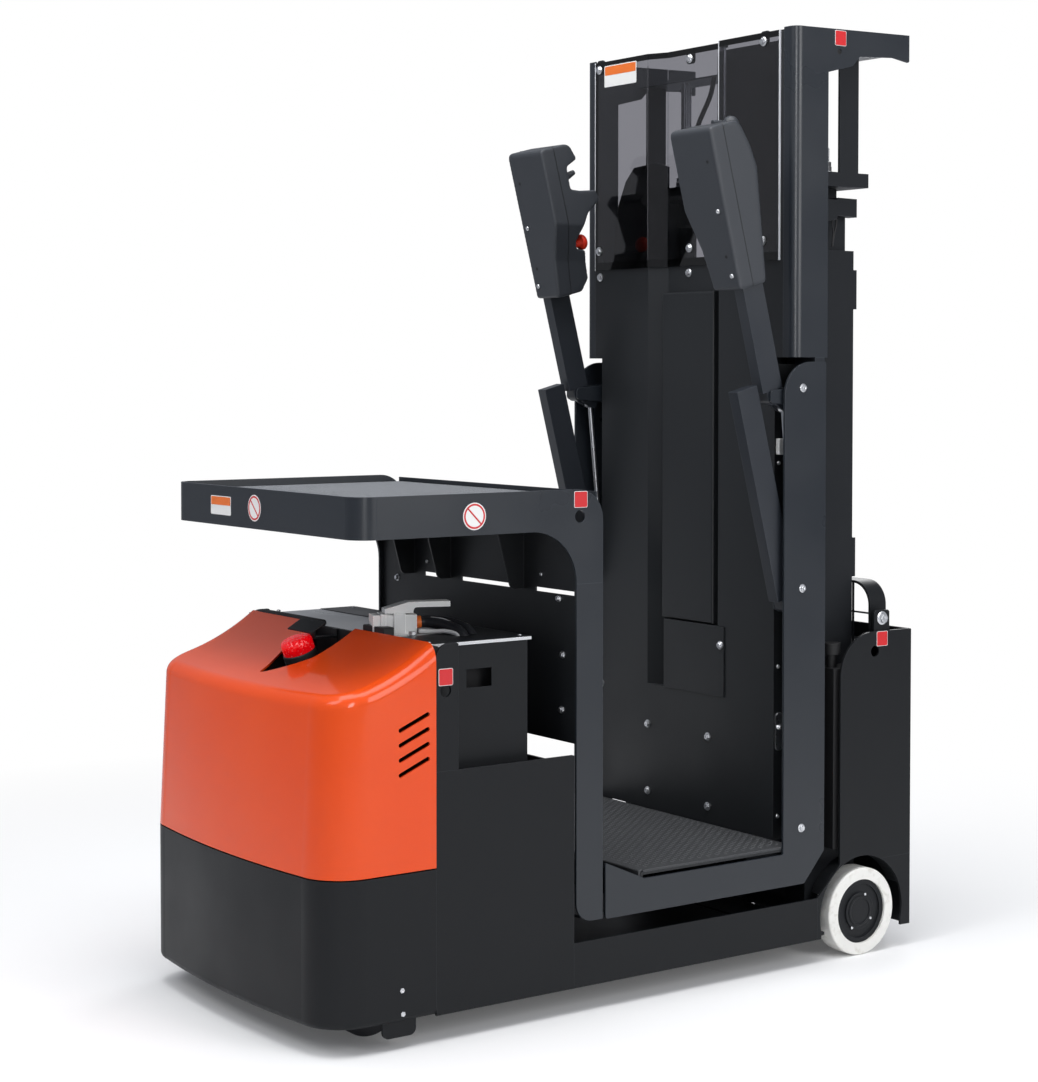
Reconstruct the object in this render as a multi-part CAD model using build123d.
from build123d import *

"""Stand-on order picker truck with a three-section mast, a lifting operator's cabin and a load tray.

Millimetres. +X points forward to the hood, +Y to the operator's left, +Z up. The origin is on the
ground, at the centre of the truck's outline.
"""
import os
from math import atan2, cos, degrees, hypot, radians, sin, tan

os.makedirs("parts", exist_ok=True)

# Overall size, stock and running gaps
nose_x = 793.0
rear_x = -793.0
body_width = 778.0
half_w = body_width / 2
plate_t = 6.0
sheet_t = 3.0
clear = 6.0
snug = 0.3
pin_gap = 0.1
chassis_low = 54.0
inner_y = half_w - plate_t
lift_hole_r = 13.0

# Skirt and hood
column_front_x = 519.5
skirt_top = 350.0
skirt_t = 5.0
skirt_edge_r = 14.0
seam_gap = 3.0
nose_bulge = 18.0
corner_r = 92.0
hood_t = 5.0
hood_draft = 26.0
draft_top = 855.0
hood_edge_r = 30.0
hood_front_z = 697.0
hood_mid_x = 640.0
hood_mid_z = 731.0
hood_rear_z = 797.0
louvre_count = 4
louvre_x = 571.0
louvre_top_z = 645.0
louvre_pitch = 29.5
louvre_len = 78.0
louvre_h = 9.0
louvre_slant = 22.5

# Warning lamp and the recess that it stands in
lamp_x = 604.0
lamp_z = 737.0
lamp_r = 34.0
lamp_h = 40.0
lamp_tilt = 20.0
lamp_half = 66.0
lamp_tip_x = 706.0
recess_spread = 14.0
bracket_z = 684.0
bracket_t = 4.0
visor_x = 572.0
visor_z = 812.0
visor_len = 42.0
visor_w = 98.0
visor_tilt = 29.0

# Side plates and columns beside the battery
column_w = 53.0
column_rear_x = column_front_x - column_w
column_top = 795.0
column_corner_r = 30.0
side_plate_top = 541.0
column_hole_z = 701.0
bridge_t = 8.0
bridge_low = 700.0

# Battery, its panels, lid and connector
battery_x0 = 300.0
battery_len = 205.0
battery_top = 760.0
battery_gap = 24.0
panel_inset = 37.0
panel_x0 = 272.0
panel_x1 = 506.0
panel_top = 784.0
lid_x0 = 262.0
lid_t = 6.0
lid_top = panel_top + lid_t
hand_hole_x = 392.0
hand_hole_z = 715.0
hand_hole_w = 62.0
hand_hole_h = 38.0
connector_x = 466.0
connector_y = 142.0
connector_turn = -22.0
connector_len = 92.0
connector_w = 52.0
connector_h = 40.0
cable_r = 11.0

# Cabin side plates, tray and front panel
post_front_x = 173.0
post_depth = 68.0
post_low = 190.0
post_foot_r = 40.0
post_crown_r = 64.0
post_hole_z = 1035.0
tray_front_x = 702.0
tray_top = 1091.0
tray_depth = 84.0
tray_corner_r = 45.0
tray_gusset_r = 112.0
tray_floor_z = 1066.0
tray_floor_t = 4.0
tray_mat_t = 6.0
mat_margin = 8.0
panel_low = 560.0
slot_low = 868.0
slot_h = 9.0

# Floor, back wall and window
floor_top = 278.0
mat_t = 6.0
floor_front_x = -7.0
floor_sheet_t = 6.0
step_z = 196.0
sill_top = 260.0
rear_post_front_x = -400.0
rear_post_rear_x = -522.0
rear_post_top = 1355.0
rear_post_crown_r = 76.0
wall_x = -432.0
recess_d = 22.0
slant_y0 = -136.0
slant_y1 = -86.0
recess_y = 125.0
lower_plate_top = 580.0
window_low = 1588.0
window_high = 2092.0
frame_strip = 13.0
pane_t = 4.0

# Upper frame
cabin_top = 2100.0
member_low = 1365.0
member_depth = 99.0
member_face = 38.0
member_bend_r = 20.0
member_t = 4.0
arm_rear_x = -782.0

# Guards: a waist arm with a control pod and a knee bar each side
carrier_w = 65.0
carrier_x1 = -494.0
guard_lean = 14.5
guard_depth = 58.0
guard_w = 30.0
guard_inset = 17.0
waist_pivot = (-382.0, 1278.0)
knee_pivot = (-428.0, 815.0)
waist_len = 330.0
knee_len = 496.0
crank_len = 48.0
crank_turn = 240.0
crank_t = 6.0
link_r = 6.0
link_pin_r = 5.0
link_eye_r = 12.0
link_eye_w = 13.0
pin_r = 8.0
ear_t = 5.0
pod_from = 250.0
pod_len = 360.0
pod_width = 138.0
pod_inset = 10.0
pod_front_v = 43.0

# Mast sections, seen from above: web at the outside, flanges towards the middle
mast_side_gap = 8.0
mast_front_x = -537.0
mast_depth = 143.0
mast_flange = 66.0
mast_wall = 8.0
mast_gap = 6.0
base_plate_z = 60.0
base_plate_t = 8.0
mast_low = base_plate_z + base_plate_t
mast_low_moving = 134.0
mast_tops = {"outer": 1610.0, "middle": 1700.0, "inner": 1752.0}
cross_tie_h = 90.0
cross_tie_t = 10.0
tie_t = 12.0
tie_front_x = -581.0
pad_depth = 60.0
pad_height = 80.0
crosshead_t = 32.0
crosshead_reach = 40.0
strut_x0 = -655.0
strut_x1 = -597.0
barrel_r = 36.0
rod_r = 20.0
carriage_plate_t = 10.0

# Drive wheels, drive units and casters
wheel_x = -640.0
wheel_r = 100.0
wheel_w = 50.0
wheel_inset = 0.5
hub_r = 73.0
hub_set_back = 6.0
axle_r = 20.0
axle_len = 20.0
axle_tube_r = 28.0
arch_r = 128.0
motor_r = 55.0
motor_in = 62.0
motor_out = 205.0
caster_x = 640.0
caster_inset = 139.0
caster_trail = 36.0
caster_r = 75.0
caster_w = 44.0
caster_pin_r = 8.0
fork_half = 30.0
deck_z = 205.0

# Rear box and hoop guard
box_front_x = -572.0
box_top = 739.0
box_deck_z = 700.0
box_deck_t = 4.0
box_deck_x = -697.0
rail_rear_x = -504.0
rail_top = 148.0
hoop_x0 = -740.0
hoop_w = 50.0
hoop_inset = 29.0
hoop_top = 850.0
hoop_t = 6.0
hoop_r = 55.0
wire_r = 2.0

# Places that several pieces share
wall_half = inner_y - carrier_w
mast_half = wall_half - mast_side_gap
mast_step = mast_wall + mast_gap
mast_rear_x = mast_front_x - mast_depth
mast_mid_x = mast_front_x - mast_depth / 2
inner_tip = mast_half - 2 * mast_step - (mast_flange - mast_wall)
guard_out = half_w - guard_inset
guard_in = guard_out - guard_w
pod_out = half_w - pod_inset
tray_low = tray_top - tray_depth
post_rear_x = post_front_x - post_depth
rail_front_x = post_front_x + clear
panel_y = half_w - panel_inset
member_half = inner_y - member_face

node_solids = {}


def keep(name, *shapes):
    """Collect a node's solids; those that touch are fused."""
    joined = shapes[0]
    for shape in shapes[1:]:
        joined = joined + shape
    node_solids[name] = joined


def rounded(*corners):
    """A flat face from corners (u, v) or (u, v, radius)."""
    face = make_face(Polyline(*[(c[0], c[1]) for c in corners], close=True))
    for c in corners:
        if len(c) > 2:
            corner = face.vertices().sort_by_distance((c[0], c[1], 0))[0]
            face = fillet(corner, c[2])
    return face


def side_plate(face, y_low, thick):
    """Extrude a face drawn in X and Z from y_low to y_low + thick."""
    return extrude(Plane.XZ.offset(-(y_low + thick)) * face, thick)


def cross_plate(face, x_low, thick):
    """Extrude a face drawn in Y and Z from x_low to x_low + thick."""
    return extrude(Plane.YZ.offset(x_low) * face, thick)


def flat_plate(face, z_low, thick):
    """Extrude a face drawn in X and Y from z_low to z_low + thick."""
    return extrude(Plane.XY.offset(z_low) * face, thick)


def block(x0, x1, y0, y1, z0, z1):
    """A box from its corners, in either order."""
    middle_at = Pos((x0 + x1) / 2, (y0 + y1) / 2, (z0 + z1) / 2)
    return middle_at * Box(abs(x1 - x0), abs(y1 - y0), abs(z1 - z0))


def rod_y(x, z, r, y0, y1):
    """A round bar along Y."""
    return Pos(x, (y0 + y1) / 2, z) * Rot(90, 0, 0) * Cylinder(r, y1 - y0)


def rod_z(x, y, r, z0, z1):
    """A round bar along Z."""
    return Pos(x, y, (z0 + z1) / 2) * Cylinder(r, z1 - z0)


def rod_x(y, z, r, x0, x1):
    """A round bar along X."""
    return Pos((x0 + x1) / 2, y, z) * Rot(0, 90, 0) * Cylinder(r, x1 - x0)


def bore_y(x, z, r):
    """A round cutter along Y through the near half of the truck."""
    return rod_y(x, z, r, 1, half_w + 1)


def far(shape):
    """The same piece on the operator's right."""
    return mirror(shape, about=Plane.XZ)


def both(shape):
    """A piece and its mirror image, in one node."""
    return shape + far(shape)


def nose_face(inset=0.0, set_back=0.0):
    """Plan of the skirt and hood: straight sides, round corners and a gently bowed front."""
    front = nose_x - set_back - inset - nose_bulge
    side = half_w - inset
    r = corner_r - inset
    plan = make_face(Polyline((column_front_x, -side), (front, -side), (front, side), (column_front_x, side), close=True))
    plan = fillet([v for v in plan.vertices() if v.X > column_front_x + 1], r)
    bow_line = Line((front, -(side - r)), (front, side - r))
    bow_arc = ThreePointArc((front, side - r), (front + nose_bulge, 0), (front, -(side - r)))
    return plan + make_face(bow_line + bow_arc)


# The front skirt is a bent plate round the nose with a rounded lower edge.
skirt = flat_plate(nose_face(), chassis_low, skirt_top - seam_gap - chassis_low)
low_rim = [e for e in skirt.edges() if abs(e.center().Z - chassis_low) < 0.1 and e.center().X > column_front_x + 1]
skirt = fillet(low_rim, skirt_edge_r)
skirt -= flat_plate(nose_face(skirt_t), chassis_low - 1, skirt_top)
keep("front_skirt", skirt)


def hood_body(inset):
    """The hood's outer or inner form: drafted walls under a top that curves up to the battery."""
    walls = loft([Plane.XY.offset(skirt_top - inset) * nose_face(inset),
                  Plane.XY.offset(draft_top) * nose_face(inset, hood_draft)])
    ahead_x = nose_x + 60
    below_z = skirt_top - 20
    top = ThreePointArc((ahead_x, hood_front_z - inset), (hood_mid_x, hood_mid_z - inset),
                        (column_front_x, hood_rear_z - inset))
    outline = Polyline((column_front_x, hood_rear_z - inset), (column_front_x, below_z), (ahead_x, below_z),
                       (ahead_x, hood_front_z - inset))
    body = walls & side_plate(make_face(top + outline), -half_w - 1, body_width + 2)
    rim = [e for e in body.edges() if e.center().Z > hood_front_z - 50 and e.center().X > column_front_x + 1]
    return fillet(rim, hood_edge_r - inset)


# The hood is a moulded shell with a teardrop recess for the lamp and four slanted louvres each side.
hood_inner = hood_body(hood_t)
hood = hood_body(0) - hood_inner
shoulder_x = lamp_x + 10
rear_half = lamp_half + recess_spread
recess = rounded((lamp_tip_x, 0, 8), (shoulder_x, lamp_half, 30), (column_front_x - 5, rear_half),
                 (column_front_x - 5, -rear_half), (shoulder_x, -lamp_half, 30))
hood -= flat_plate(recess, bracket_z - 30, column_top)
for i in range(louvre_count):
    slot = Pos(louvre_x, louvre_top_z - i * louvre_pitch) * Rot(0, 0, -louvre_slant) * SlotOverall(louvre_len, louvre_h)
    hood -= both(side_plate(slot, half_w - 40, 60))
keep("hood", hood)

# The lamp stands tilted on a pan below the recess, with a small visor behind it.
lamp_at = Pos(lamp_x, 0, lamp_z) * Rot(0, lamp_tilt, 0)
lens = lamp_at * Pos(0, 0, lamp_h / 2) * Cylinder(lamp_r, lamp_h)
lens = fillet(lens.edges().sort_by(Axis.Z)[-1:], 12)
keep("lamp_lens", lens)
pan_half = lamp_half + 20
pan = block(column_front_x, lamp_tip_x + 6, -pan_half, pan_half, bracket_z, bracket_z + bracket_t)
pan += lamp_at * Pos(0, 0, -9) * Cylinder(lamp_r + 2, 18)
pan += lamp_at * Pos(0, 0, -40) * Cylinder(14, 50)
pan = pan & hood_inner
visor_stem = block(column_front_x, column_front_x + bracket_t, -10, 10, bracket_z, lid_top)
visor_stem += block(column_front_x, visor_x + 6, -10, 10, lid_top - bracket_t - 14, lid_top - 14)
visor_stem += block(visor_x + 2, visor_x + 6, -10, 10, lid_top - 14, visor_z - 2)
visor = Pos(visor_x, 0, visor_z) * Rot(0, visor_tilt, 0) * Box(visor_len, visor_w, 3,
                                                               align=(Align.MIN, Align.CENTER, Align.MAX))
keep("lamp_bracket", pan, visor_stem, visor)

# The chassis side plates end in a column on each side of the battery, joined by a bridge below the lid.
front_plate = rounded((rail_front_x, chassis_low), (column_front_x, chassis_low), (column_front_x, side_plate_top),
                      (rail_front_x, side_plate_top, 3))
keep("front_side_plates", both(side_plate(front_plate, inner_y, plate_t)))
column = rounded((column_rear_x, side_plate_top), (column_front_x, side_plate_top),
                 (column_front_x, column_top, column_corner_r), (column_rear_x, column_top, 4))
column -= Pos(column_front_x - 22.5, column_hole_z) * Circle(lift_hole_r)
bridge = block(column_front_x - bridge_t, column_front_x, -inner_y, inner_y, bridge_low, lid_top)
keep("battery_columns", both(side_plate(column, inner_y, plate_t)), bridge)

# Angle-section rails run below the cabin.
rail_flange = 45.0
rail = block(rail_rear_x, rail_front_x, inner_y, half_w, chassis_low, rail_top)
rail += block(rail_rear_x, rail_front_x, half_w - rail_flange, inner_y, chassis_low, chassis_low + plate_t)
keep("low_rails", both(rail))

# Rear side plates: below with the wheel's arch, above beside the tank, with a lifting hole.
arch_side_z = 215.0
rear_edge_low = chassis_low - 3
wheel_plate = rounded((rail_rear_x, chassis_low), (rear_x, rear_edge_low), (rear_x, arch_side_z),
                      (box_front_x, arch_side_z), (rail_rear_x, rail_top))
wheel_plate -= Pos(wheel_x, wheel_r) * Circle(arch_r)
wheel_plate -= Pos(wheel_x, rear_edge_low) * Rectangle(2 * arch_r - 8, wheel_r)
keep("wheel_side_plates", both(side_plate(wheel_plate, inner_y, plate_t)))
rear_plate = rounded((rear_x, arch_side_z), (rear_x, box_top, 3), (box_front_x, box_top, 100), (box_front_x, arch_side_z))
rear_plate -= Pos(wheel_x, wheel_r) * Circle(arch_r)
rear_plate -= Pos(box_front_x - 106, box_top - 45) * Circle(lift_hole_r)
keep("rear_side_plates", both(side_plate(rear_plate, inner_y, plate_t)))

# Base frame: battery floor, caster deck and the two cross walls between them and the cabin.
frame_low = chassis_low + 4
frame_floor = frame_low + plate_t
deck_t = 8.0
base = block(rail_front_x, column_front_x, -inner_y, inner_y, frame_low, frame_floor)
base += block(column_front_x - plate_t, column_front_x, -inner_y, inner_y, frame_floor, deck_z + deck_t)
base += block(column_front_x, nose_x - 60, -(half_w - 79), half_w - 79, deck_z, deck_z + deck_t)
base += block(rail_front_x, rail_front_x + plate_t, -inner_y, inner_y, frame_floor, side_plate_top - 21)
keep("base_frame", base)

# Skids below the skirt stop the truck from tipping.
skid = rounded((565, 25, 14), (642, 25, 14), (642, 150, 4), (565, 150, 4))
keep("skids", both(side_plate(skid, half_w - skirt_t - plate_t, plate_t)))

# The battery is one block between two lift-out side panels, under a lid with a hole for its cables.
battery_half = panel_y - sheet_t - battery_gap
battery_x1 = battery_x0 + battery_len
keep("battery", block(battery_x0, battery_x1, -battery_half, battery_half, frame_floor, battery_top))
panel = rounded((panel_x0, frame_floor), (panel_x1, frame_floor), (panel_x1, panel_top), (panel_x0, panel_top, 3))
panel -= Pos(hand_hole_x, hand_hole_z) * Rectangle(hand_hole_w, hand_hole_h)
keep("battery_panels", both(side_plate(panel, panel_y - sheet_t, sheet_t)))
lid = block(lid_x0, column_front_x - bridge_t, -panel_y, panel_y, panel_top, lid_top)
lid -= block(battery_x0 + 20, battery_x0 + 96, 230, 306, panel_top - 1, lid_top + 1)
keep("battery_lid", lid)

# The connector stands on the lid; its lever parts the two halves.
on_lid = (Align.CENTER, Align.CENTER, Align.MIN)
connector_at = Pos(connector_x, connector_y, lid_top) * Rot(0, 0, connector_turn)
connector = connector_at * Box(connector_len, connector_w, connector_h, align=on_lid)
connector += connector_at * Pos(-10, 0, 0) * Box(24, connector_w + 6, connector_h + 3, align=on_lid)
connector += connector_at * Pos(24, 0, 0) * Box(10, connector_w + 4, connector_h + 2, align=on_lid)
keep("connector", connector)
grip_z = connector_h + 3
grip = rounded((-40, grip_z), (20, grip_z), (20, grip_z + 9), (-30, grip_z + 23, 8), (-118, grip_z + 23),
               (-118, grip_z + 12), (-40, grip_z + 12, 8))
keep("connector_lever", connector_at * side_plate(grip, -20, 40))

# Two cables leave the connector and go down through the lid to the battery.
cable_routes = (((426, 171, 812), (408, 178, 813), (388, 215, 811), (375, 258, 800), (372, 276, 780), (372, 276, 760)),
                ((417, 149, 812), (390, 160, 813), (358, 195, 811), (344, 240, 800), (340, 258, 780), (340, 258, 760)))


def arc_radii(route):
    """The largest arcs that the runs of a cable leave room for."""
    radii = []
    for before, corner, after in zip(route, route[1:], route[2:]):
        run_in = Vector(*corner) - Vector(*before)
        run_out = Vector(*after) - Vector(*corner)
        half_turn = radians(run_in.get_angle(run_out) / 2)
        radii.append(0.45 * min(run_in.length, run_out.length) / tan(half_turn))
    return radii


cables = []
for route in cable_routes:
    radii = arc_radii(route)
    path = FilletPolyline(*route, radius=radii)
    cables.append(sweep(Plane(origin=path @ 0, z_dir=path % 0) * Circle(cable_r), path=path))
keep("battery_cables", Compound(cables))

# Drive wheels: a pressed-on tyre and a dished hub on a stub axle.
tyre_in = half_w - wheel_w
hub_face_y = half_w - hub_set_back
tyre = rod_y(wheel_x, wheel_r, wheel_r, tyre_in, half_w - wheel_inset) - bore_y(wheel_x, wheel_r, hub_r)
tyre = fillet(tyre.edges().group_by(SortBy.LENGTH)[-1], 4)
hub = rod_y(wheel_x, wheel_r, hub_r, tyre_in, hub_face_y)
hub -= rod_y(wheel_x, wheel_r, hub_r - 11, hub_face_y - 5, half_w) - rod_y(wheel_x, wheel_r, 42, hub_face_y - 5, half_w)
hub += rod_y(wheel_x, wheel_r, axle_r, tyre_in - axle_len, tyre_in)
keep("drive_tyre_near", tyre)
keep("drive_hub_near", hub)
keep("drive_tyre_far", far(tyre))
keep("drive_hub_far", far(hub))

# Each drive unit is a motor with an axle tube that goes through the mast's web.
drive = rod_y(wheel_x, wheel_r, motor_r, motor_in, motor_out)
drive += rod_y(wheel_x, wheel_r, axle_tube_r, motor_out, tyre_in - 2)
drive -= rod_y(wheel_x, wheel_r, axle_r + pin_gap, tyre_in - axle_len - 1, tyre_in)
keep("drive_units", both(drive))

# Casters under the nose: a trailing fork and a solid wheel.
caster_y = half_w - caster_inset
fork_rear = caster_x - caster_trail - 22
fork_front = caster_x + 24
fork_plate_z = 156.0
fork_plate_t = 12.0
fork_top = fork_plate_z + fork_plate_t
caster_axle_x = caster_x - caster_trail
fork = rod_z(caster_x, caster_y, 32, fork_top, deck_z)
fork += block(fork_rear, fork_front, caster_y - fork_half, caster_y + fork_half, fork_plate_z, fork_top)
leg = rounded((fork_rear, fork_top), (fork_front, fork_top), (caster_axle_x + 22, caster_r - 15, 10),
              (fork_rear, caster_r - 15, 10))
for leg_y in (caster_y - fork_half, caster_y + fork_half - 4):
    fork += side_plate(leg, leg_y, 4)
fork += rod_y(caster_axle_x, caster_r, caster_pin_r, caster_y - fork_half, caster_y + fork_half)
caster_wheel = rod_y(caster_axle_x, caster_r, caster_r, caster_y - caster_w / 2, caster_y + caster_w / 2)
caster_wheel -= bore_y(caster_axle_x, caster_r, caster_pin_r + pin_gap)
keep("caster_fork_near", fork)
keep("caster_wheel_near", caster_wheel)
keep("caster_fork_far", far(fork))
keep("caster_wheel_far", far(caster_wheel))

# Rear box: rear wall, deck and the rope bracket at each end of the deck.
rear_box = block(rear_x, rear_x + plate_t, -inner_y, inner_y, rear_edge_low, box_top)
rear_box += block(rear_x + plate_t, box_deck_x, -inner_y, inner_y, box_deck_z, box_deck_z + box_deck_t)
keep("rear_box", rear_box)
tank_out = inner_y - 7
tank = block(box_front_x - 78, box_front_x + 10, mast_half, tank_out, 250, 660)
tank += rod_z(box_front_x - 12, tank_out - 31, 12, 660, 690)
tank += rod_z(box_front_x - 12, tank_out - 31, 20, 690, 716)
keep("oil_tank", tank)

# The hoop guard over the rear box is a bent flat bar filled with wire.
hoop_half = half_w - hoop_inset
hoop_low = box_deck_z + box_deck_t
hoop = rounded((-hoop_half, hoop_low), (hoop_half, hoop_low), (hoop_half, hoop_top, hoop_r), (-hoop_half, hoop_top, hoop_r))
hoop -= rounded((hoop_t - hoop_half, hoop_low - 1), (hoop_half - hoop_t, hoop_low - 1),
                (hoop_half - hoop_t, hoop_top - hoop_t, hoop_r - hoop_t), (hoop_t - hoop_half, hoop_top - hoop_t, hoop_r - hoop_t))
hoop_guard = cross_plate(hoop, hoop_x0, hoop_w)
wire_x = hoop_x0 + hoop_w - 2 * wire_r
wire_count = 11
wire_pitch = 2 * (hoop_half - 60) / (wire_count - 1)
for i in range(wire_count):
    wire_y = (i - (wire_count - 1) / 2) * wire_pitch
    hoop_guard += block(wire_x - wire_r, wire_x + wire_r, wire_y - wire_r, wire_y + wire_r, hoop_low, hoop_top - hoop_t)
wire_z = (hoop_low + hoop_top) / 2
hoop_guard += block(wire_x - wire_r, wire_x + wire_r, hoop_t - hoop_half, hoop_half - hoop_t, wire_z - wire_r, wire_z + wire_r)
keep("hoop_guard", hoop_guard)


def channel(level):
    """Channel section in plan on the near side, open towards the middle; level 0 is the outer mast."""
    front = mast_front_x - level * mast_step
    rear = mast_rear_x + level * mast_step
    outer = mast_half - level * mast_step
    tip = outer - mast_flange + 4 * level
    wall = mast_wall
    return make_face(Polyline((front, outer), (rear, outer), (rear, tip), (rear + wall, tip), (rear + wall, outer - wall),
                              (front - wall, outer - wall), (front - wall, tip), (front, tip), close=True))


# The outer mast stands on a base plate and has three ties at its back.
outer_bar = flat_plate(channel(0), mast_low, mast_tops["outer"] - mast_low)
outer_bar -= bore_y(wheel_x, wheel_r, axle_tube_r + snug)
outer_mast = both(outer_bar)
tie_span = mast_tops["outer"] - mast_low - cross_tie_h
for share in (0.075, 0.545, 0.97):
    tie_z = mast_low + share * tie_span
    outer_mast += block(mast_rear_x - cross_tie_t, mast_rear_x, -mast_half, mast_half, tie_z, tie_z + cross_tie_h)
keep("mast_outer", outer_mast)
base_front_x = -470.0
beam_w = 60.0
base_plate = block(rear_x + plate_t, base_front_x, -mast_half - 15, mast_half + 15, base_plate_z, mast_low)
base_plate += block(base_front_x - beam_w, base_front_x, -inner_y, inner_y, base_plate_z, mast_low)
base_plate -= both(block(wheel_x - motor_r - 10, wheel_x + motor_r + 10, motor_in - 5, motor_out + 6,
                         base_plate_z - 1, mast_low + 1))
keep("mast_base", base_plate)

# The lift cylinder stands in the middle of the mast, and its rod carries the middle section.
barrel_top = mast_tops["outer"] - 170
rod_low = mast_low + 40
barrel = rod_z(mast_mid_x, 0, barrel_r, mast_low, barrel_top)
barrel -= rod_z(mast_mid_x, 0, rod_r + snug, rod_low, barrel_top + 1)
keep("lift_cylinder", barrel)
keep("lift_rod", rod_z(mast_mid_x, 0, rod_r, rod_low + 10, mast_tops["middle"] - tie_t))


def slide_pads(level):
    """Pads at a section's foot that run in the section round it."""
    outer = mast_half - level * mast_step
    return both(block(mast_mid_x - pad_depth / 2, mast_mid_x + pad_depth / 2, outer, outer + mast_gap - snug,
                      mast_low_moving, mast_low_moving + pad_height))


# The middle section is tied at its head, over the rod.
tie_half = inner_tip - 16
head_z = mast_tops["middle"] - tie_t
tie_rear_x = mast_rear_x + mast_step
middle = both(flat_plate(channel(1), mast_low_moving, mast_tops["middle"] - mast_low_moving)) + slide_pads(1)
middle += block(tie_rear_x, tie_front_x, -tie_half, tie_half, head_z, mast_tops["middle"])
middle += block(tie_rear_x, tie_rear_x + mast_wall, mast_step - mast_half, mast_half - mast_step,
                head_z, mast_tops["middle"])
keep("mast_middle", middle)

# The inner section's crosshead carries two struts up to the cabin's upper frame.
top_bar_z = cabin_top - 54
inner_top = mast_tops["inner"]
crosshead_half = mast_half + crosshead_reach
inner = both(flat_plate(channel(2), mast_low_moving, inner_top - mast_low_moving)) + slide_pads(2)
inner += block(mast_rear_x - 7, mast_front_x - 25, -crosshead_half, crosshead_half, inner_top, inner_top + crosshead_t)
inner += both(block(strut_x0, strut_x1, crosshead_half - plate_t, crosshead_half, inner_top + crosshead_t, top_bar_z))
keep("mast_inner", inner)

# Two plates join the inner section to the cabin's wall, in front of the outer mast.
join = block(mast_front_x - 2 * mast_step - mast_wall, wall_x - sheet_t, inner_tip - carriage_plate_t, inner_tip, 180, 1500)
keep("carriage_plates", both(join))

# Cabin side plates: the front posts, and above them the tray's sides with a round gusset.
split_z = tray_low - tray_gusset_r
post = rounded((post_front_x, post_low, post_foot_r), (post_front_x, split_z), (post_rear_x, split_z), (post_rear_x, post_low))
keep("front_posts", both(side_plate(post, inner_y, plate_t)))
tray_side_x = tray_front_x - tray_corner_r
tray_side = rounded((post_front_x, split_z), (post_front_x, tray_low, tray_gusset_r - 1), (tray_side_x, tray_low),
                    (tray_side_x, tray_top), (post_rear_x, tray_top, post_crown_r), (post_rear_x, split_z))
tray_side -= Pos(post_front_x - 8, post_hole_z) * Circle(lift_hole_r)
keep("tray_sides", both(side_plate(tray_side, inner_y, plate_t)))

# Rear posts stand on a sill that reaches forward to a narrow slit behind the front posts.
slit = 8.0
sill_front_x = post_rear_x - slit
sill_low = post_low - 2
rear_post = rounded((sill_front_x, sill_low, 6), (sill_front_x, sill_top + 46, 3), (floor_front_x, sill_top),
                    (rear_post_front_x, sill_top, 4), (rear_post_front_x, rear_post_top, rear_post_crown_r),
                    (rear_post_rear_x, rear_post_top, 6), (rear_post_rear_x, sill_low + 68), (rear_post_rear_x + 60, sill_low))
keep("rear_posts", both(side_plate(rear_post, inner_y, plate_t)))


def tray_plan(rear, inset):
    """Plan of the tray's rim with round front corners."""
    front = tray_front_x - inset
    side = half_w - inset
    r = tray_corner_r - max(inset, 1)
    return rounded((rear, -side), (front, -side, r), (front, side, r), (rear, side))


# The tray's rim wraps round its front; its floor stands on four cross ribs.
rim = tray_plan(tray_side_x, 0) - tray_plan(tray_side_x - 1, plate_t)
tray = flat_plate(rim, tray_low, tray_depth)
tray_rear_x = post_rear_x + 11
tray += flat_plate(tray_plan(tray_rear_x + 4, plate_t), tray_floor_z, tray_floor_t)
tray += block(tray_rear_x, tray_rear_x + 4, -inner_y, inner_y, tray_low, tray_top - 6)
rib_count = 3
for i in range(rib_count):
    rib_x = tray_rear_x + 134 + 150 * i
    tray += block(rib_x, rib_x + 4, -inner_y, inner_y, tray_low + 10, tray_floor_z)
keep("tray", tray)
keep("tray_mat", flat_plate(tray_plan(tray_rear_x + 14, plate_t + mat_margin), tray_floor_z + tray_floor_t, tray_mat_t))

# The front panel closes the cabin below the tray, with three sight slots and gussets between them.
front_panel_x = post_front_x - 14
panel_t = 4.0
panel_face = rounded((-inner_y, panel_low), (inner_y, panel_low), (inner_y, tray_low - 7), (-inner_y, tray_low - 7))
slots = ((-206, -148), (-54, 137), (229, 368))
for slot_y0, slot_y1 in slots:
    panel_face -= Pos((slot_y0 + slot_y1) / 2, slot_low + slot_h / 2) * Rectangle(slot_y1 - slot_y0, slot_h)
front_panel = cross_plate(panel_face, front_panel_x, panel_t)
gusset = rounded((front_panel_x + panel_t, slot_low + 2), (front_panel_x + panel_t + 34, slot_low + 2, 14),
                 (front_panel_x + panel_t + 70, tray_low - 7), (front_panel_x + panel_t, tray_low - 7))
for gusset_y in (-252, -101, 182):
    front_panel += side_plate(gusset, gusset_y, panel_t)
keep("front_panel", front_panel)

# The floor pan steps down to the front posts; a rubber mat lies on it.
pan_top = floor_top - mat_t
floor = block(floor_front_x, wall_x - sheet_t, -inner_y, inner_y, pan_top - floor_sheet_t, pan_top)
floor += block(front_panel_x, floor_front_x, -inner_y, inner_y, step_z, step_z + floor_sheet_t)
floor += block(floor_front_x, floor_front_x + floor_sheet_t, -inner_y, inner_y, step_z, pan_top)
keep("floor_pan", floor)
keep("floor_mat", block(floor_front_x, wall_x, -inner_y, inner_y, pan_top, floor_top))


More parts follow.
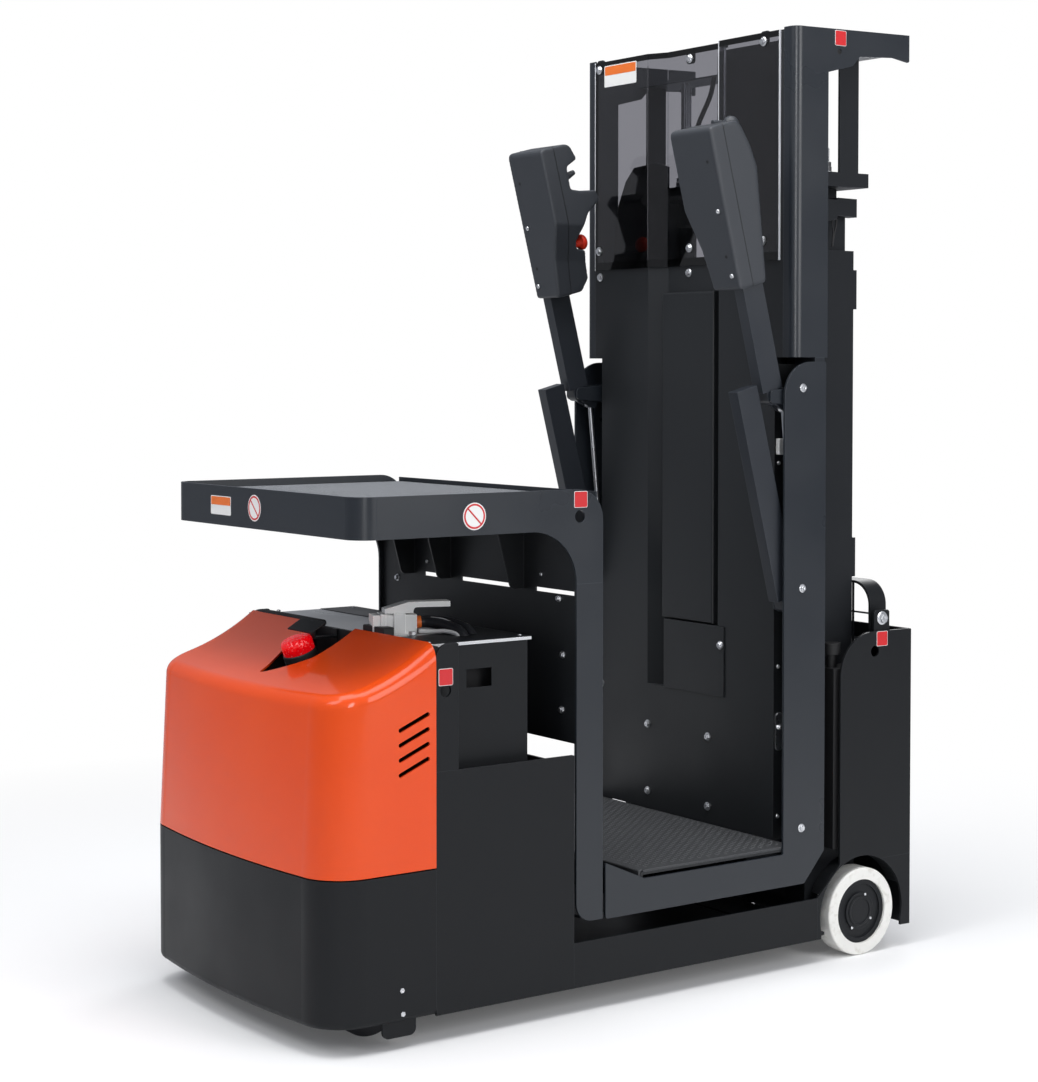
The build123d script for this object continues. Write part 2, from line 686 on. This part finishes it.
def folded_sheet(line, thick):
    """A plan face for a sheet folded along a line of (x, y) points, with its thickness to their right."""
    turns = []
    for start, end in zip(line, line[1:]):
        run = hypot(end[0] - start[0], end[1] - start[1])
        turns.append(((end[1] - start[1]) / run, (start[0] - end[0]) / run))
    back = []
    for i, point in enumerate(line):
        before = turns[max(i - 1, 0)]
        after = turns[min(i, len(turns) - 1)]
        share = thick / (1 + before[0] * after[0] + before[1] * after[1])
        back.append((point[0] + (before[0] + after[0]) * share, point[1] + (before[1] + after[1]) * share))
    return make_face(Polyline(*line, *reversed(back), close=True))


# The back wall is sheet folded back round the lift chains, flat below, with a window cut in it.
recess_x = wall_x - recess_d
wall_low_half = [(wall_x, recess_y), (recess_x, recess_y), (recess_x, slant_y1), (wall_x, slant_y0)]
narrow = folded_sheet([(wall_x, wall_half), *wall_low_half, (wall_x, -wall_half)], sheet_t)
wide = folded_sheet([(wall_x, member_half), *wall_low_half, (wall_x, -member_half)], sheet_t)
wall = flat_plate(narrow, lower_plate_top, member_low - lower_plate_top)
wall += flat_plate(wide, member_low, window_high - member_low)
wall += block(wall_x - sheet_t, wall_x, -wall_half, wall_half, floor_top, lower_plate_top)
wall += block(recess_x - sheet_t, wall_x, slant_y0, recess_y + sheet_t, lower_plate_top - sheet_t, lower_plate_top)
window_half = member_half - frame_strip
wall -= block(recess_x - 9, wall_x + 1, -window_half, window_half, window_low + frame_strip, window_high - frame_strip)
wall += both(block(rear_post_rear_x, wall_x - sheet_t, wall_half - sheet_t, wall_half, floor_top, member_low - 15))
keep("back_wall", wall)

# Two covers close the recess in front of the cylinder and the chains.
cover_face_x = wall_x + sheet_t
upper_cover = block(recess_x, wall_x - 2, slant_y1, recess_y - 22, 745, 1520)
upper_cover = fillet(upper_cover.edges().group_by(Axis.X)[-1], 5)
lower_cover = block(recess_x, cover_face_x, -70, recess_y - 1, lower_plate_top, 743)
lower_cover += block(wall_x, cover_face_x, recess_y - 1, recess_y + 24, lower_plate_top, 743)
keep("wall_covers", upper_cover + lower_cover)

# The window is two clear sheets folded like the wall and screwed to its front.
pane_low = window_low - 6
far_line = [(wall_x, 5 - member_half), (wall_x, slant_y0), (recess_x, slant_y1), (recess_x, recess_y - 3)]
near_line = [(wall_x, recess_y + 3), (wall_x, member_half - 12)]
panes = folded_sheet(far_line, pane_t) + folded_sheet(near_line, pane_t)
keep("window_panes", flat_plate(panes, pane_low, window_high - pane_low))

# Upper side members are bent from sheet and carry the arms that hang the cabin on the struts.
section = rounded((wall_x, member_half), (wall_x, inner_y, member_bend_r), (wall_x - member_depth, inner_y),
                  (wall_x - member_depth, inner_y - member_t), (wall_x - member_t, inner_y - member_t, member_bend_r - member_t),
                  (wall_x - member_t, member_half))
member = flat_plate(section, member_low, cabin_top - member_low - 3)
arm_x = wall_x - 30
arm = rounded((arm_x, cabin_top - 3), (arm_rear_x, cabin_top + 3), (arm_rear_x, cabin_top - 60, 5), (-730, cabin_top - 52),
              (-626, cabin_top - 58), (-605, cabin_top - 80), (-531, cabin_top - 99), (arm_x, cabin_top - 110))
arm -= Pos(-564, cabin_top - 51) * Circle(7)
upper = both(member + side_plate(arm, inner_y - member_t, member_t))
upper += block(mast_rear_x - 17, strut_x1 - 3, -inner_y, inner_y, top_bar_z, top_bar_z + 4)
keep("upper_frame", upper)

# Square tubes behind the rear posts carry the ears and pins of the guards.
tube_low = sill_top + 2
carrier = block(rear_post_rear_x, carrier_x1, wall_half, inner_y, tube_low, member_low)
for pivot_x, pivot_z in (waist_pivot, knee_pivot):
    ear = rounded((carrier_x1, pivot_z - 24), (pivot_x + 14, pivot_z - 14, 10), (pivot_x + 14, pivot_z + 14, 10),
                  (carrier_x1, pivot_z + 24))
    for ear_y in (guard_in - 2 - ear_t, guard_out + 1):
        carrier += side_plate(ear, ear_y, ear_t)
    carrier += rod_y(pivot_x, pivot_z, pin_r, guard_in - 2 - ear_t, guard_out + 1 + ear_t)
keep("guard_hinges", both(carrier))

lean = radians(guard_lean)
along = (sin(lean), cos(lean))
ahead = (cos(lean), -sin(lean))
half_d = guard_depth / 2
lug_half = 16.0
crank = (crank_len * sin(radians(crank_turn)), crank_len * cos(radians(crank_turn)))


def on_guard(pivot, u, v):
    """A point u along a guard from its pivot and v ahead of its middle line, in X and Z."""
    return (pivot[0] + u * along[0] + v * ahead[0], pivot[1] + u * along[1] + v * ahead[1])


def guard_face(pivot, corners):
    """A face from corners (u, v) or (u, v, radius) given in a guard's own directions."""
    return rounded(*[(*on_guard(pivot, c[0], c[1]), *c[2:]) for c in corners])


def crank_pin(pivot):
    """Where the link's pin is on a guard, in X and Z."""
    return (pivot[0] + crank[0], pivot[1] + crank[1])


def guard_bar(pivot, length):
    """A rectangular tube on a hinge lug with its pin hole and the crank for the link."""
    tube_face = guard_face(pivot, [(14, -half_d), (length, -half_d), (length, half_d), (14, half_d)])
    lug = guard_face(pivot, [(-18, -lug_half, 14), (18, -lug_half), (18, lug_half), (-18, lug_half, 14)])
    bar = side_plate(tube_face, guard_in, guard_w) + side_plate(lug, guard_in + 1, guard_w - 2)
    pin = crank_pin(pivot)
    across = (crank[1] / crank_len * link_eye_r, -crank[0] / crank_len * link_eye_r)
    web = make_face(Polyline((pivot[0] + across[0], pivot[1] + across[1]), (pin[0] + across[0], pin[1] + across[1]),
                             (pin[0] - across[0], pin[1] - across[1]), (pivot[0] - across[0], pivot[1] - across[1]),
                             close=True)) + Pos(*pin) * Circle(link_eye_r)
    for web_y in (guard_in + 1, guard_out - 1 - crank_t):
        bar += side_plate(web, web_y, crank_t)
    bar += rod_y(*pin, link_pin_r, guard_in + 1, guard_out - 1)
    return bar - bore_y(*pivot, pin_r + pin_gap)


# Each side has a waist arm and, below it, a knee bar that a link rod makes it carry along.
waist = guard_bar(waist_pivot, waist_len)
knee = guard_bar(knee_pivot, knee_len)
keep("waist_arm_near", waist)
keep("waist_arm_far", far(waist))
keep("knee_bar_near", knee)
keep("knee_bar_far", far(knee))
link_y = guard_out - guard_w / 2
eyes = (crank_pin(waist_pivot), crank_pin(knee_pivot))
rise = (eyes[0][0] - eyes[1][0], eyes[0][1] - eyes[1][1])
link_span = hypot(*rise)
link_turn = degrees(atan2(*rise))
link = Pos(eyes[1][0], link_y, eyes[1][1]) * Rot(0, link_turn, 0) * Pos(0, 0, link_span / 2) * Cylinder(link_r, link_span)
for eye in eyes:
    link += rod_y(*eye, link_eye_r, link_y - link_eye_w / 2, link_y + link_eye_w / 2)
for eye in eyes:
    link -= bore_y(*eye, link_pin_r + pin_gap)
keep("guard_link_near", link)
keep("guard_link_far", far(link))

# Control pods, wide above and narrowing below on the operator's side; the far one is cut out for a grip.
pod_end = pod_from + pod_len
pod_rears = {
    "near": [(pod_from, -36, 10), (pod_from + 250, -72, 20), (pod_from + 300, -64, 20), (pod_end, -44, 24)],
    "far": [(pod_from, -30, 8), (pod_from + 28, -52, 8), (pod_from + 98, -48, 6), (pod_from + 108, -22, 6),
            (pod_from + 126, -20, 6), (pod_from + 186, -62, 6), (pod_from + 210, -104, 6), (pod_from + 235, -96, 4),
            (pod_from + 243, -50, 6), (pod_from + 252, -24, 4), (pod_from + 306, -26, 6), (pod_from + 318, -60, 6),
            (pod_end, -44, 22)],
}
pod_in = pod_out - pod_width
taper_z = waist_pivot[1] + 407
pod_front = make_face(Polyline((pod_out, taper_z - 285), (pod_out, taper_z + 315), (pod_in, taper_z + 315),
                               (pod_in, taper_z), (pod_in + 33, taper_z - 85), (pod_in + 68, taper_z - 285), close=True))
pods = {}
for side, rear in pod_rears.items():
    corners = [(pod_from, pod_front_v, 8)] + rear + [(pod_end, pod_front_v, 12)]
    pod = side_plate(guard_face(waist_pivot, corners), pod_in, pod_width) & cross_plate(pod_front, -600, 600)
    pods[side] = pod - waist
keep("pod_near", pods["near"])
keep("pod_far", far(pods["far"]))

# Controls: a ball knob on the left pod, a lever and a stop button on the right one.
control_y = pod_out - pod_width / 2
knob_x, knob_z = on_guard(waist_pivot, pod_end - 8, -60)
knob = Pos(knob_x - 18, control_y, knob_z + 2) * Sphere(18)
knob += rod_x(control_y, knob_z + 2, 6, knob_x - 18, knob_x + 34)
keep("knob_near", knob - pods["near"])
lever_x, lever_z = on_guard(waist_pivot, pod_from + 280, -24)
lever = Pos(lever_x - 20, control_y - 32, lever_z + 6) * Rot(0, -62, 0) * Cone(13, 6, 48)
keep("lever_far", far(lever - pods["far"]))
stop_x, stop_z = on_guard(waist_pivot, pod_from + 118, -20)
stop = Pos(stop_x - 5, control_y, stop_z + 2) * Rot(0, -75.5, 0) * (Cylinder(10, 24) + Pos(0, 0, 12) * Cylinder(19, 12))
keep("stop_button", far(stop - pods["far"]))

for name, shape in node_solids.items():
    export_step(shape, f"parts/{name}.step")
print(len(node_solids), "nodes")
